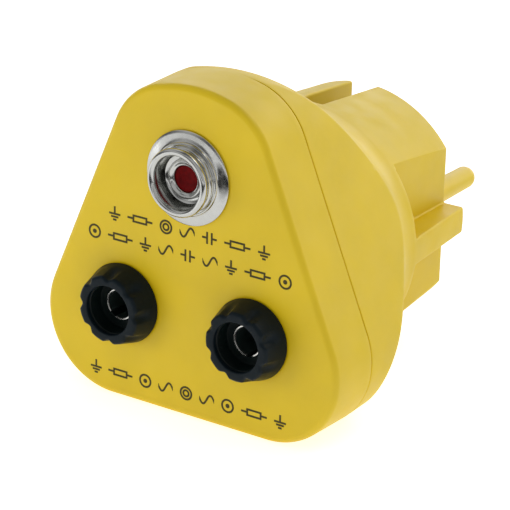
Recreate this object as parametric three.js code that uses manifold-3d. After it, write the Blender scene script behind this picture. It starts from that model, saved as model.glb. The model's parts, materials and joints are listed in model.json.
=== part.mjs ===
// Earth bonding plug: a yellow dummy mains plug that carries a 10 mm press stud and two 4 mm sockets.
// Each outlet is joined through its own resistor to the earth clip, whose two ends lie in the plug's
// side notches. All sizes are in millimetres.
// Frame: the origin is where the plug's axis meets the flat front face, +X is to the right seen from
// the front, +Y runs along the plug's axis towards the wall socket, and +Z is up.
import * as THREE from "three";
import { mergeVertices } from "three/addons/utils/BufferGeometryUtils.js";
import Module from "manifold-3d";

const wasm = await Module();
wasm.setup();

// Driving dimensions: front outline, a rounded triangle made of tangent arcs and straight lines.
const TOP_Z = 29.55;
const TOP_RADIUS = 22.1;
const SHOULDER_RADIUS = 10.6;
const CORNER_RADIUS = 11.7;
const BASE_Z = -20.7;
const SIDE_TILT = THREE.MathUtils.degToRad(22.9); // outward normal of a straight side, above +X
const SIDE_DISTANCE = 20.85; // from the plug's axis to a straight side

// Casing.
const WALL = 2.2;
const EDGE_ROUND = 1; // round between the front face and the side wall
const SEAT_DEPTH = 0.1; // shallow seats in the front face, under the stud and the grip rings
const SEAT_PLAY = 0.1; // radial
const SEAM_Y = 9; // where the two shells meet
const SEAM_FLARE = 0.25; // how far the wall has spread out at the seam
const SEAM_CHAMFER = 0.25;
const INNER_OFFSET = -1.8; // inside of the side wall, from the front outline
const REAR_DRAFT = 0.02; // how far the rear wall closes in, per millimetre of depth
const TONGUE_LENGTH = 1.4; // the rear shell's rim that slips inside the front shell
const TONGUE_OFFSET = -2.0;
const TONGUE_THICKNESS = 1.0;

// Plug end of the rear shell.
const BELL_RADIUS = 29.6; // at the seam
const BELL_END_Y = 30;
const BODY_FRONT_RADIUS = 19.8; // at the end of the bell
const BODY_REAR_RADIUS = 18.5;
const REAR_Y = 47.3;
const REAR_CHAMFER = 0.4;
const RECESS_Y = 31; // where the side flats and the earth notches begin
const FLAT_X = 15;
const RIB_HALF = 2.1;
const NOTCH_HALF = 2.2;
const NOTCH_FLOOR_Z = 14.5;
const CAVITY_RADIUS = 12.4;
const CAVITY_FRONT_Y = 28.5;
const REAR_WALL = 4;

// Closing screw, from the rear face into a boss on the front shell.
const BOSS_RADIUS = 3.2;
const BOSS_END_Y = 13.7;
const PILOT_RADIUS = 1.45;
const PILOT_START_Y = 4.5;
const TUBE_RADIUS = 4.6;
const TUBE_START_Y = 14;
const SCREW_RADIUS = 1.4;
const SCREW_TIP_Y = 6;
const SCREW_SEAT_Y = 24;
const SCREW_HEAD_RADIUS = 2.7;
const SCREW_HEAD_HEIGHT = 2;
const SCREW_HOLE_RADIUS = 1.6;
const SCREW_WELL_RADIUS = 3.1;

// Dummy pins.
const PIN_X = 9;
const PIN_ROOT_RADIUS = 1.95;
const PIN_TIP_RADIUS = 1.78;
const PIN_TIP_Y = 66;
const PIN_COLLAR_RADIUS = 3.2;
const PIN_COLLAR_LENGTH = 1.5;
const PIN_HOLE_RADIUS = 2;

// Earth clip.
const CLIP_Y = 31.6;
const CLIP_THICKNESS = 0.8;
const CLIP_HALF_WIDTH = 2;
const CLIP_RING_OUTER = 6.9;
const CLIP_RING_INNER = 4.9;
const CLIP_SLOT_GAP = 0.3;
const CLIP_LEG_Z = 14.6;
const CLIP_LEG_END_Y = 46;
const CLIP_BOW = 0.7;

// Press stud.
const STUD_Z = 16.24;
const STUD_FLANGE_RADIUS = 7;
const STUD_FLOOR_Y = -0.35;
const STUD_NECK_RADIUS = 4.35;
const STUD_RING_RADIUS = 5.04;
const STUD_RING_Y = -2.75; // where the rolled ring is widest
const STUD_FRONT_Y = -3.3;
const STUD_BORE = 3.78;
const EYELET_RADIUS = 2.4;
const EYELET_BORE = 1.95;
const EYELET_RIM = 2.9;
const EYELET_END_Y = 3.45;
const PANEL_TO_EYELET = 0.05; // radial play
const RED_FRONT_Y = -0.6;
const RED_PLAY = 0.03;
const TAG_THICKNESS = 0.4;
const TAG_HALF_WIDTH = 1.2;
const TAG_WIRE_HOLE = 0.6;
const STUD_WASHER_RADIUS = 5;
const STUD_WASHER_BACK_Y = WALL + 0.5;
const STUD_TAG_RADIUS = 3.6;
const STUD_TAG_BACK_Y = STUD_WASHER_BACK_Y + TAG_THICKNESS;
const STUD_TAG_LENGTH = 8;

// Sockets.
const SOCKET_X = 11.17;
const SOCKET_Z = -5.38;
const NECK_RADIUS = 4.35;
const NECK_BORE = 3.7;
const NECK_FRONT_Y = -3.3;
const NECK_FLOOR_Y = -0.8;
const PANEL_HOLE_PLAY = 0.05;
const SOCKET_FLANGE_RADIUS = 6;
const SOCKET_FLANGE_BACK_Y = 3.7;
const SOCKET_BARREL_RADIUS = 4;
const SOCKET_BARREL_END_Y = 16.5;
const SLEEVE_RADIUS = 2.42;
const SLEEVE_BORE = 2.1;
const SLEEVE_FRONT_Y = -1.1;
const SLEEVE_FLOOR_Y = 16.4;
const SLEEVE_END_Y = 17.5;
const SLEEVE_SLOT = 1.1;
const SLEEVE_SLOT_END_Y = 9;
const SLEEVE_PLAY = 0.05;
const TAIL_RADIUS = 1.2;
const TAIL_END_Y = 20.5;
const TAIL_PLAY = 0.05;
const SOCKET_TAG_RADIUS = 2.6;
const SOCKET_TAG_LENGTH = 6;
const SOCKET_TAG_SLOPE = THREE.MathUtils.degToRad(34); // below the line between the sockets

// Grip rings, screwed on the sockets' necks.
const RING_BASE_RADIUS = 6.15;
const RING_FRONT_RADIUS = 5.15;
const RING_FRONT_Y = -4.15;
const RING_BACK_Y = -0.3; // the slip washer lies behind it
const RING_LIP_BORE = 3.75;
const RING_LIP_BACK_Y = -3.5;
const RING_BORE = 4.45;
const SCALLOPS = 8;
const SCALLOP_DEPTH = 0.5;
const SCALLOP_START_Y = -0.9;
const RING_CHAMFER = 0.25;
const WASHER_RADIUS = 6;

// Resistors.
const RESISTOR_RADIUS = 1.2;
const RESISTOR_WAIST = 1;
const RESISTOR_LENGTH = 6.5;
const LEAD_RADIUS = 0.3;
const LEAD_GAP = 0.4; // between a lead's end and the piece it is soldered to
const CLIP_SOLDER_X = 1.2;
const CLIP_SOLDER_Z = -10.5;

// Fineness of round shapes.
const ROUND = 40;
const SMALL_ROUND = 20;
const WELD = 1e-4;

const YELLOW = { color: 0xdcbf45, roughness: 0.5, metalness: 0 };
const PIN_YELLOW = { color: 0xe6c341, roughness: 0.45, metalness: 0 };
const BLACK = { color: 0x20252a, roughness: 0.55, metalness: 0 };
const RED = { color: 0x6e0508, roughness: 0.5, metalness: 0 };
const NICKEL = { color: 0xc9c9c4, roughness: 0.18, metalness: 1 };
const STEEL = { color: 0xb5b6b8, roughness: 0.35, metalness: 1 };
const RESISTOR_BLUE = { color: 0x5f8fae, roughness: 0.4, metalness: 0 };

// ---------------------------------------------------------------- building blocks

/** A closed geometry as a solid that can be joined and cut. */
function solid(geometry) {
  const bare = geometry.index ? geometry.toNonIndexed() : geometry.clone();
  bare.deleteAttribute("normal");
  bare.deleteAttribute("uv");
  const merged = mergeVertices(bare, WELD);
  const mesh = new wasm.Mesh({
    numProp: 3,
    vertProperties: merged.attributes.position.array,
    triVerts: new Uint32Array(merged.index.array),
  });
  return new wasm.Manifold(mesh);
}

/** A solid as a named mesh with its own material. */
function named(name, body, look) {
  const faces = body.getMesh();
  const geometry = new THREE.BufferGeometry();
  geometry.setAttribute("position", new THREE.BufferAttribute(new Float32Array(faces.vertProperties), 3));
  geometry.setIndex(new THREE.BufferAttribute(new Uint32Array(faces.triVerts), 1));
  geometry.computeVertexNormals();
  const mesh = new THREE.Mesh(geometry, new THREE.MeshStandardMaterial(look));
  mesh.name = name;
  return mesh;
}

/** A body of revolution about the Y axis. The profile is [radius, y] pairs round one half section. */
function turned(profile, segments = ROUND) {
  const points = profile.map(([radius, y]) => new THREE.Vector2(radius, y));
  if (THREE.ShapeUtils.area(points) < 0) points.reverse();
  if (points[0].x > 0) points.push(points[0].clone());
  return solid(new THREE.LatheGeometry(points, segments));
}

/** A plain round bar about the Y axis. */
function bar(radius, front, back, segments = ROUND) {
  return turned([[0, front], [radius, front], [radius, back], [0, back]], segments);
}

/** A plain ring about the Y axis. */
function ring(inner, outer, front, back, segments = ROUND) {
  return turned([[inner, front], [outer, front], [outer, back], [inner, back]], segments);
}

/** A box between two corners. */
function box(low, high) {
  const size = high.map((value, axis) => value - low[axis]);
  const middle = high.map((value, axis) => (value + low[axis]) / 2);
  return solid(new THREE.BoxGeometry(...size).translate(...middle));
}

/** A solid moved to a place, keeping its directions. */
function moved(body, x, y, z) {
  return body.translate([x, y, z]);
}

/** A closed body through a stack of rings, front to back, that all have the same number of points. */
function loft(rings) {
  const count = rings[0].length;
  const vertices = rings.flat();
  const faces = [];
  for (let level = 0; level < rings.length - 1; level++) {
    for (let i = 0; i < count; i++) {
      const next = (i + 1) % count;
      const near = level * count;
      const far = near + count;
      faces.push(near + i, far + i, near + next);
      faces.push(near + next, far + i, far + next);
    }
  }
  const closeEnd = (points, start, turn) => {
    const middle = new THREE.Vector3();
    points.forEach((point) => middle.addScaledVector(point, 1 / count));
    vertices.push(middle);
    const centre = vertices.length - 1;
    for (let i = 0; i < count; i++) {
      const next = (i + 1) % count;
      faces.push(centre, start + (turn ? next : i), start + (turn ? i : next));
    }
  };
  closeEnd(rings[0], 0, false);
  closeEnd(rings.at(-1), (rings.length - 1) * count, true);
  const geometry = new THREE.BufferGeometry().setFromPoints(vertices);
  geometry.setIndex(faces);
  return solid(geometry);
}

/** Points [x, z] along an arc, both ends included. */
function arc(x, z, radius, from, to, steps) {
  return Array.from({ length: steps + 1 }, (_, i) => {
    const angle = from + ((to - from) * i) / steps;
    return [x + radius * Math.cos(angle), z + radius * Math.sin(angle)];
  });
}

// ---------------------------------------------------------------- casing

/** The rounded triangle, counter-clockwise seen from the front, grown by an offset, at one depth. */
function outline(y, offset) {
  const quarter = Math.PI / 2;
  const cornerZ = BASE_Z + CORNER_RADIUS;
  const cornerReach = SIDE_DISTANCE - CORNER_RADIUS - cornerZ * Math.sin(SIDE_TILT);
  const cornerX = cornerReach / Math.cos(SIDE_TILT);
  const crownZ = TOP_Z - TOP_RADIUS;
  const arm = TOP_RADIUS - SHOULDER_RADIUS;
  const reach = SIDE_DISTANCE - SHOULDER_RADIUS - crownZ * Math.sin(SIDE_TILT);
  const lean = Math.asin(reach / arm) - SIDE_TILT; // of the shoulder's centre, from +Z
  const shoulderX = arm * Math.sin(lean);
  const shoulderZ = crownZ + arm * Math.cos(lean);
  const right = [
    ...arc(cornerX, cornerZ, CORNER_RADIUS + offset, -quarter, SIDE_TILT, 10),
    ...arc(shoulderX, shoulderZ, SHOULDER_RADIUS + offset, SIDE_TILT, quarter - lean, 6),
    ...arc(0, crownZ, TOP_RADIUS + offset, quarter - lean, quarter, 3).slice(1),
  ];
  const left = right.slice(0, -1).map(([x, z]) => [-x, z]);
  return [...right, ...left.reverse()].map(([x, z]) => new THREE.Vector3(x, y, z));
}

/** The wall's spread in the front shell, growing from the rounded edge to the seam. */
function frontOffset(y) {
  return (SEAM_FLARE * (y - EDGE_ROUND)) / (SEAM_Y - EDGE_ROUND);
}

function frontShell() {
  const steps = 4;
  const levels = Array.from({ length: steps + 1 }, (_, i) => {
    const angle = ((Math.PI / 2) * i) / steps;
    return outline(EDGE_ROUND * (1 - Math.cos(angle)), EDGE_ROUND * (Math.sin(angle) - 1));
  });
  const chamferY = SEAM_Y - SEAM_CHAMFER;
  levels.push(outline(chamferY, frontOffset(chamferY)));
  levels.push(outline(SEAM_Y, SEAM_FLARE - SEAM_CHAMFER));
  const inside = loft([
    outline(WALL, INNER_OFFSET - 1),
    outline(WALL + 1, INNER_OFFSET),
    outline(SEAM_Y + 1, INNER_OFFSET),
  ]);
  const boss = bar(BOSS_RADIUS, WALL / 2, BOSS_END_Y, SMALL_ROUND);
  const pilot = bar(PILOT_RADIUS, PILOT_START_Y, BOSS_END_Y + 1, SMALL_ROUND);
  const studHole = bar(EYELET_RADIUS + PANEL_TO_EYELET, -1, WALL + 1);
  const studSeat = bar(STUD_FLANGE_RADIUS + SEAT_PLAY, -1, SEAT_DEPTH);
  const socketHole = bar(NECK_RADIUS + PANEL_HOLE_PLAY, -1, WALL + 1);
  const socketSeat = bar(RING_BASE_RADIUS + SEAT_PLAY, -1, SEAT_DEPTH);
  const studOpening = studHole.add(studSeat);
  const socketOpening = socketHole.add(socketSeat);
  return loft(levels)
    .subtract(inside)
    .add(boss)
    .subtract(pilot)
    .subtract(moved(studOpening, 0, 0, STUD_Z))
    .subtract(moved(socketOpening, -SOCKET_X, 0, SOCKET_Z))
    .subtract(moved(socketOpening, SOCKET_X, 0, SOCKET_Z));
}

/** The radius of the bell that narrows, as half a cosine wave, from the casing to the plug body. */
function bellRadius(y) {
  const t = (y - SEAM_Y) / (BELL_END_Y - SEAM_Y);
  return BODY_FRONT_RADIUS + ((BELL_RADIUS - BODY_FRONT_RADIUS) * (1 + Math.cos(Math.PI * t))) / 2;
}

/** The half section of the bell from the seam to its end, drawn in by an inset. */
function bellCurve(inset, steps) {
  return Array.from({ length: steps + 1 }, (_, i) => {
    const y = SEAM_Y + ((BELL_END_Y - SEAM_Y) * i) / steps;
    return [bellRadius(y) - inset, y];
  });
}

/** The rear shell's side wall before the bell trims it. */
function rearPrism(offset, front, back) {
  const spread = (y) => offset - REAR_DRAFT * (y - SEAM_Y);
  return loft([outline(front, spread(front)), outline(back, spread(back))]);
}

function rearOuter() {
  const round = turned([
    [0, SEAM_Y - 1],
    [BELL_RADIUS, SEAM_Y - 1],
    ...bellCurve(0, 10),
    [BODY_REAR_RADIUS, REAR_Y - REAR_CHAMFER],
    [BODY_REAR_RADIUS - REAR_CHAMFER, REAR_Y],
    [0, REAR_Y],
  ]);
  const chamferY = SEAM_Y + SEAM_CHAMFER;
  const wall = loft([
    outline(SEAM_Y, SEAM_FLARE - SEAM_CHAMFER),
    outline(chamferY, SEAM_FLARE),
    outline(REAR_Y, SEAM_FLARE - REAR_DRAFT * (REAR_Y - SEAM_Y)),
  ]);
  return round.intersect(wall);
}

/** The hollow inside the rear shell: the wide casing part and the narrower plug part. */
function rearInner() {
  const bell = turned([
    [0, SEAM_Y - 1],
    [BELL_RADIUS, SEAM_Y - 1],
    ...bellCurve(WALL, 6).filter(([, y]) => y < CAVITY_FRONT_Y),
    [bellRadius(CAVITY_FRONT_Y) - WALL, CAVITY_FRONT_Y],
    [0, CAVITY_FRONT_Y],
  ]);
  const wide = bell.intersect(rearPrism(INNER_OFFSET, SEAM_Y - 1, REAR_Y));
  return wide.add(bar(CAVITY_RADIUS, CAVITY_FRONT_Y - 1, REAR_Y - REAR_WALL));
}

/** The rim that lines up the two shells. Its root is wider, so that it joins the rear wall. */
function tongue() {
  const rootY = SEAM_Y + 1.5;
  const rootOffset = INNER_OFFSET + 0.2;
  const rim = loft([
    outline(SEAM_Y - TONGUE_LENGTH, TONGUE_OFFSET),
    outline(SEAM_Y, TONGUE_OFFSET),
    outline(SEAM_Y, rootOffset),
    outline(rootY, rootOffset),
  ]);
  const hollow = TONGUE_OFFSET - TONGUE_THICKNESS;
  return rim.subtract(loft([outline(SEAM_Y - TONGUE_LENGTH - 1, hollow), outline(rootY + 1, hollow)]));
}

/** Everything cut out of the plug body: side flats that leave a rib, notches, pin holes. */
function plugCuts() {
  const far = BELL_RADIUS;
  const cuts = [];
  for (const side of [-1, 1]) {
    const span = (a, b) => [Math.min(a * side, b * side), Math.max(a * side, b * side)];
    const [flatLow, flatHigh] = span(FLAT_X, far);
    cuts.push(box([flatLow, RECESS_Y, RIB_HALF], [flatHigh, REAR_Y + 1, far]));
    cuts.push(box([flatLow, RECESS_Y, -far], [flatHigh, REAR_Y + 1, -RIB_HALF]));
    const [floor, open] = span(NOTCH_FLOOR_Z, far);
    cuts.push(box([-NOTCH_HALF, RECESS_Y, floor], [NOTCH_HALF, REAR_Y + 1, open]));
    const [slotLow, slotHigh] = span(CAVITY_RADIUS - 1, NOTCH_FLOOR_Z + 1);
    const slotFront = CLIP_Y - CLIP_SLOT_GAP;
    const slotBack = CLIP_Y + CLIP_THICKNESS + CLIP_SLOT_GAP;
    cuts.push(box([-NOTCH_HALF, slotFront, slotLow], [NOTCH_HALF, slotBack, slotHigh]));
    cuts.push(moved(bar(PIN_HOLE_RADIUS, CAVITY_FRONT_Y, REAR_Y + 1, SMALL_ROUND), side * PIN_X, 0, 0));
  }
  return cuts;
}

function rearShell() {
  const tube = bar(TUBE_RADIUS, TUBE_START_Y, REAR_Y - REAR_WALL / 2, SMALL_ROUND);
  const screwHole = bar(SCREW_HOLE_RADIUS, TUBE_START_Y - 1, SCREW_SEAT_Y + 1, SMALL_ROUND);
  const screwWell = bar(SCREW_WELL_RADIUS, SCREW_SEAT_Y, REAR_Y + 1, SMALL_ROUND);
  let shell = rearOuter().subtract(rearInner()).add(tongue()).add(tube);
  for (const cut of plugCuts()) shell = shell.subtract(cut);
  return shell.subtract(screwHole).subtract(screwWell);
}

// ---------------------------------------------------------------- screw, pins, earth clip

function closingScrew() {
  const headBack = SCREW_SEAT_Y + SCREW_HEAD_HEIGHT;
  const screw = turned([
    [0, SCREW_TIP_Y],
    [SCREW_RADIUS / 2, SCREW_TIP_Y],
    [SCREW_RADIUS, SCREW_TIP_Y + 1],
    [SCREW_RADIUS, SCREW_SEAT_Y],
    [SCREW_HEAD_RADIUS, SCREW_SEAT_Y],
    [SCREW_HEAD_RADIUS, headBack - 0.7],
    [SCREW_HEAD_RADIUS - 0.9, headBack],
    [0, headBack],
  ], SMALL_ROUND);
  const slotHalf = 0.35;
  const slotReach = 1.4;
  const slotFloor = headBack - 1.2;
  return screw
    .subtract(box([-slotHalf, slotFloor, -slotReach], [slotHalf, headBack + 1, slotReach]))
    .subtract(box([-slotReach, slotFloor, -slotHalf], [slotReach, headBack + 1, slotHalf]));
}

function dummyPin() {
  const seatY = REAR_Y - REAR_WALL;
  const domeSteps = 5;
  const domeStartY = PIN_TIP_Y - PIN_TIP_RADIUS;
  const dome = Array.from({ length: domeSteps }, (_, i) => {
    const angle = ((Math.PI / 2) * (i + 1)) / domeSteps;
    return [PIN_TIP_RADIUS * Math.cos(angle), domeStartY + PIN_TIP_RADIUS * Math.sin(angle)];
  });
  dome[domeSteps - 1][0] = 0;
  return turned([
    [0, seatY - PIN_COLLAR_LENGTH],
    [PIN_COLLAR_RADIUS, seatY - PIN_COLLAR_LENGTH],
    [PIN_COLLAR_RADIUS, seatY],
    [PIN_ROOT_RADIUS, seatY],
    [PIN_TIP_RADIUS, domeStartY],
    ...dome,
  ], SMALL_ROUND);
}

/** One sprung leg of the earth clip: a bowed strip along Y, above the notch floor. */
function clipLeg() {
  const steps = 8;
  const startY = CLIP_Y + CLIP_THICKNESS / 2;
  const lower = Array.from({ length: steps + 1 }, (_, i) => {
    const y = startY + ((CLIP_LEG_END_Y - startY) * i) / steps;
    return new THREE.Vector2(y, CLIP_LEG_Z + CLIP_BOW * Math.sin((Math.PI * i) / steps));
  });
  const upper = lower.map((point) => new THREE.Vector2(point.x, point.y + CLIP_THICKNESS)).reverse();
  const width = 2 * CLIP_HALF_WIDTH;
  const strip = new THREE.ExtrudeGeometry(new THREE.Shape([...lower, ...upper]), {
    depth: width,
    bevelEnabled: false,
  });
  // The shape's x becomes Y, its y becomes Z and its depth becomes X.
  const turn = new THREE.Matrix4().makeBasis(
    new THREE.Vector3(0, 1, 0),
    new THREE.Vector3(0, 0, 1),
    new THREE.Vector3(1, 0, 0),
  );
  return strip.applyMatrix4(turn).translate(-CLIP_HALF_WIDTH, 0, 0);
}

function earthClip() {
  const back = CLIP_Y + CLIP_THICKNESS;
  const reach = CLIP_LEG_Z + CLIP_THICKNESS;
  const strip = box([-CLIP_HALF_WIDTH, CLIP_Y, -reach], [CLIP_HALF_WIDTH, back, reach]);
  const upperLeg = clipLeg();
  const lowerLeg = upperLeg.clone().rotateY(Math.PI);
  return bar(CLIP_RING_OUTER, CLIP_Y, back)
    .add(strip)
    .subtract(bar(CLIP_RING_INNER, CLIP_Y - 1, back + 1))
    .add(solid(upperLeg))
    .add(solid(lowerLeg));
}

// ---------------------------------------------------------------- press stud

function studCap() {
  const hole = EYELET_RADIUS + PANEL_TO_EYELET;
  return turned([
    [hole, SEAT_DEPTH],
    [STUD_FLANGE_RADIUS, SEAT_DEPTH],
    [STUD_FLANGE_RADIUS, STUD_FLOOR_Y],
    [STUD_NECK_RADIUS + 0.5, STUD_FLOOR_Y - 0.6],
    [STUD_NECK_RADIUS, STUD_FLOOR_Y - 1.1],
    [STUD_NECK_RADIUS + 0.1, STUD_RING_Y + 0.7],
    [STUD_RING_RADIUS - 0.1, STUD_RING_Y + 0.35],
    [STUD_RING_RADIUS, STUD_RING_Y],
    [STUD_RING_RADIUS - 0.15, STUD_RING_Y - 0.35],
    [STUD_RING_RADIUS - 0.5, STUD_FRONT_Y],
    [STUD_BORE + 0.4, STUD_FRONT_Y],
    [STUD_BORE + 0.05, STUD_FRONT_Y + 0.5],
    [STUD_BORE, STUD_FLOOR_Y],
    [hole, STUD_FLOOR_Y],
  ]);
}

function studEyelet() {
  return turned([
    [EYELET_BORE, STUD_FLOOR_Y - 0.4],
    [EYELET_BORE + 0.3, STUD_FLOOR_Y - 0.65],
    [EYELET_RIM - 0.3, STUD_FLOOR_Y - 0.6],
    [EYELET_RIM, STUD_FLOOR_Y - 0.3],
    [EYELET_RIM, STUD_FLOOR_Y],
    [EYELET_RADIUS, STUD_FLOOR_Y],
    [EYELET_RADIUS, STUD_TAG_BACK_Y],
    [EYELET_RIM, STUD_TAG_BACK_Y],
    [EYELET_RIM, EYELET_END_Y],
    [EYELET_BORE, EYELET_END_Y],
  ]);
}

/** A solder tag: an eye round a hole, with a tab that points along an angle in the XZ plane. */
function solderTag(eyeRadius, holeRadius, length, angle, front, back) {
  const half = TAG_HALF_WIDTH;
  const wireHole = bar(TAG_WIRE_HOLE, front - 1, back + 1, SMALL_ROUND / 2);
  const shape = new THREE.Shape();
  shape.moveTo(0, -half);
  shape.lineTo(length - half, -half);
  shape.absarc(length - half, 0, half, -Math.PI / 2, Math.PI / 2);
  shape.lineTo(0, half);
  const tab = solid(tagTab(shape, angle, front, back));
  const holeReach = length - half;
  const holePlace = [holeReach * Math.cos(angle), 0, holeReach * Math.sin(angle)];
  return bar(eyeRadius, front, back)
    .add(tab)
    .subtract(bar(holeRadius, front - 1, back + 1))
    .subtract(moved(wireHole, ...holePlace));
}

/** The tab's plate, turned so that its length points along the angle. */
function tagTab(shape, angle, front, back) {
  const options = { depth: back - front, bevelEnabled: false, curveSegments: 6 };
  const geometry = new THREE.ExtrudeGeometry(shape, options);
  return geometry.rotateZ(angle).rotateX(Math.PI / 2).translate(0, back, 0);
}

function stud() {
  const group = new THREE.Group();
  const hole = EYELET_RADIUS + PANEL_TO_EYELET;
  const down = -Math.PI / 2;
  const red = bar(EYELET_BORE - RED_PLAY, RED_FRONT_Y, EYELET_END_Y);
  const washer = ring(hole, STUD_WASHER_RADIUS, WALL, STUD_WASHER_BACK_Y);
  const front = STUD_WASHER_BACK_Y;
  const tag = solderTag(STUD_TAG_RADIUS, hole, STUD_TAG_LENGTH, down, front, STUD_TAG_BACK_Y);
  group.add(
    named("stud_cap", studCap(), NICKEL),
    named("stud_eyelet", studEyelet(), NICKEL),
    named("stud_red_insert", red, RED),
    named("stud_washer", washer, STEEL),
    named("stud_solder_tag", tag, STEEL),
  );
  group.position.set(0, 0, STUD_Z);
  return group;
}

// ---------------------------------------------------------------- sockets

/** The grip ring: a taper whose scallops deepen towards the front, on a stepped bore. */
function gripRing(phase) {
  const count = SCALLOPS * 6;
  const taper = (y) => {
    const t = (y - RING_BACK_Y) / (RING_FRONT_Y - RING_BACK_Y);
    return RING_BASE_RADIUS + (RING_FRONT_RADIUS - RING_BASE_RADIUS) * t;
  };
  const contour = (y, inset) => Array.from({ length: count }, (_, i) => {
    const angle = (2 * Math.PI * i) / count;
    const fade = THREE.MathUtils.clamp((y - SCALLOP_START_Y) / (RING_FRONT_Y - SCALLOP_START_Y), 0, 1);
    const bite = Math.max(0, Math.cos(SCALLOPS * (angle - phase))) ** 1.5;
    const radius = taper(y) - inset - SCALLOP_DEPTH * fade * bite;
    return new THREE.Vector3(radius * Math.cos(angle), y, radius * Math.sin(angle));
  });
  const body = loft([
    contour(RING_FRONT_Y, RING_CHAMFER),
    contour(RING_FRONT_Y + RING_CHAMFER, 0),
    contour(SCALLOP_START_Y, 0),
    contour(RING_BACK_Y, 0),
  ]);
  return body
    .subtract(bar(RING_LIP_BORE, RING_FRONT_Y - 1, RING_BACK_Y + 1))
    .subtract(bar(RING_BORE, RING_LIP_BACK_Y, RING_BACK_Y + 1));
}

function socketBody() {
  return turned([
    [SLEEVE_RADIUS + SLEEVE_PLAY, NECK_FLOOR_Y],
    [NECK_BORE, NECK_FLOOR_Y],
    [NECK_BORE, NECK_FRONT_Y],
    [NECK_RADIUS, NECK_FRONT_Y],
    [NECK_RADIUS, WALL],
    [SOCKET_FLANGE_RADIUS, WALL],
    [SOCKET_FLANGE_RADIUS, SOCKET_FLANGE_BACK_Y],
    [SOCKET_BARREL_RADIUS, SOCKET_FLANGE_BACK_Y],
    [SOCKET_BARREL_RADIUS, SOCKET_BARREL_END_Y],
    [SLEEVE_RADIUS + SLEEVE_PLAY, SOCKET_BARREL_END_Y],
  ]);
}

/** The contact sleeve, slotted at the front on the side where the angle points. */
function contactSleeve(slotAngle) {
  const sleeve = turned([
    [0, SLEEVE_FLOOR_Y],
    [SLEEVE_BORE, SLEEVE_FLOOR_Y],
    [SLEEVE_BORE, SLEEVE_FRONT_Y],
    [SLEEVE_RADIUS, SLEEVE_FRONT_Y],
    [SLEEVE_RADIUS, SLEEVE_END_Y],
    [TAIL_RADIUS, SLEEVE_END_Y],
    [TAIL_RADIUS, TAIL_END_Y],
    [0, TAIL_END_Y],
  ], SMALL_ROUND);
  const depth = SLEEVE_SLOT_END_Y - SLEEVE_FRONT_Y + 1;
  const cutter = new THREE.BoxGeometry(SLEEVE_RADIUS * 2, depth, SLEEVE_SLOT);
  cutter.translate(SLEEVE_RADIUS, SLEEVE_SLOT_END_Y - depth / 2, 0).rotateY(-slotAngle);
  return sleeve.subtract(solid(cutter));
}

/** One socket, from its grip ring at the front to its solder tag inside the casing. */
function socket(side, x, scallopPhase, slotAngle, tagAngle) {
  const group = new THREE.Group();
  const tagBack = SLEEVE_END_Y + TAG_THICKNESS;
  const hole = TAIL_RADIUS + TAIL_PLAY;
  const tag = solderTag(SOCKET_TAG_RADIUS, hole, SOCKET_TAG_LENGTH, tagAngle, SLEEVE_END_Y, tagBack);
  const washer = ring(RING_BORE, WASHER_RADIUS, RING_BACK_Y, SEAT_DEPTH);
  group.add(
    named(side + "_grip_ring", gripRing(scallopPhase), BLACK),
    named(side + "_slip_washer", washer, BLACK),
    named(side + "_socket_body", socketBody(), BLACK),
    named(side + "_contact_sleeve", contactSleeve(slotAngle), NICKEL),
    named(side + "_solder_tag", tag, STEEL),
  );
  group.position.set(x, 0, SOCKET_Z);
  return group;
}

// ---------------------------------------------------------------- resistors

/** A resistor with straight leads that reach from one point to another. */
function resistor(name, from, to) {
  const span = new THREE.Vector3().subVectors(to, from);
  const end = span.length() / 2;
  const half = RESISTOR_LENGTH / 2;
  const profile = [
    [0, -end],
    [LEAD_RADIUS, -end],
    [LEAD_RADIUS, -half],
    [RESISTOR_RADIUS * 0.8, -half],
    [RESISTOR_RADIUS, -half + 0.4],
    [RESISTOR_RADIUS, -half + 1.4],
    [RESISTOR_WAIST, -half + 1.9],
  ];
  const mirrored = profile.map(([radius, y]) => [radius, -y]).reverse();
  const mesh = named(name, turned([...profile, ...mirrored], SMALL_ROUND / 2), RESISTOR_BLUE);
  mesh.quaternion.setFromUnitVectors(new THREE.Vector3(0, 1, 0), span.normalize());
  mesh.position.copy(from).add(to).multiplyScalar(0.5);
  return mesh;
}

/** The three resistors, from their solder tags to just in front of the earth clip. The stud's passes
 * through its tag's wire hole, and the others stop just short of their tags. */
function resistors() {
  const clipFront = CLIP_Y - LEAD_GAP;
  const behindTag = SLEEVE_END_Y + TAG_THICKNESS + LEAD_GAP;
  const studLeadZ = STUD_Z - STUD_TAG_LENGTH + TAG_HALF_WIDTH;
  const tagReach = SOCKET_TAG_LENGTH - TAG_HALF_WIDTH;
  const tagX = SOCKET_X - tagReach * Math.cos(SOCKET_TAG_SLOPE);
  const tagZ = SOCKET_Z - tagReach * Math.sin(SOCKET_TAG_SLOPE);
  const ends = [["stud_resistor", [0, STUD_WASHER_BACK_Y, studLeadZ], [0, clipFront, studLeadZ]]];
  for (const [name, side] of [["left_resistor", -1], ["right_resistor", 1]]) {
    ends.push([name, [side * tagX, behindTag, tagZ], [side * CLIP_SOLDER_X, clipFront, CLIP_SOLDER_Z]]);
  }
  return ends.map(([name, from, to]) => {
    return resistor(name, new THREE.Vector3(...from), new THREE.Vector3(...to));
  });
}

// ---------------------------------------------------------------- assembly

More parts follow.
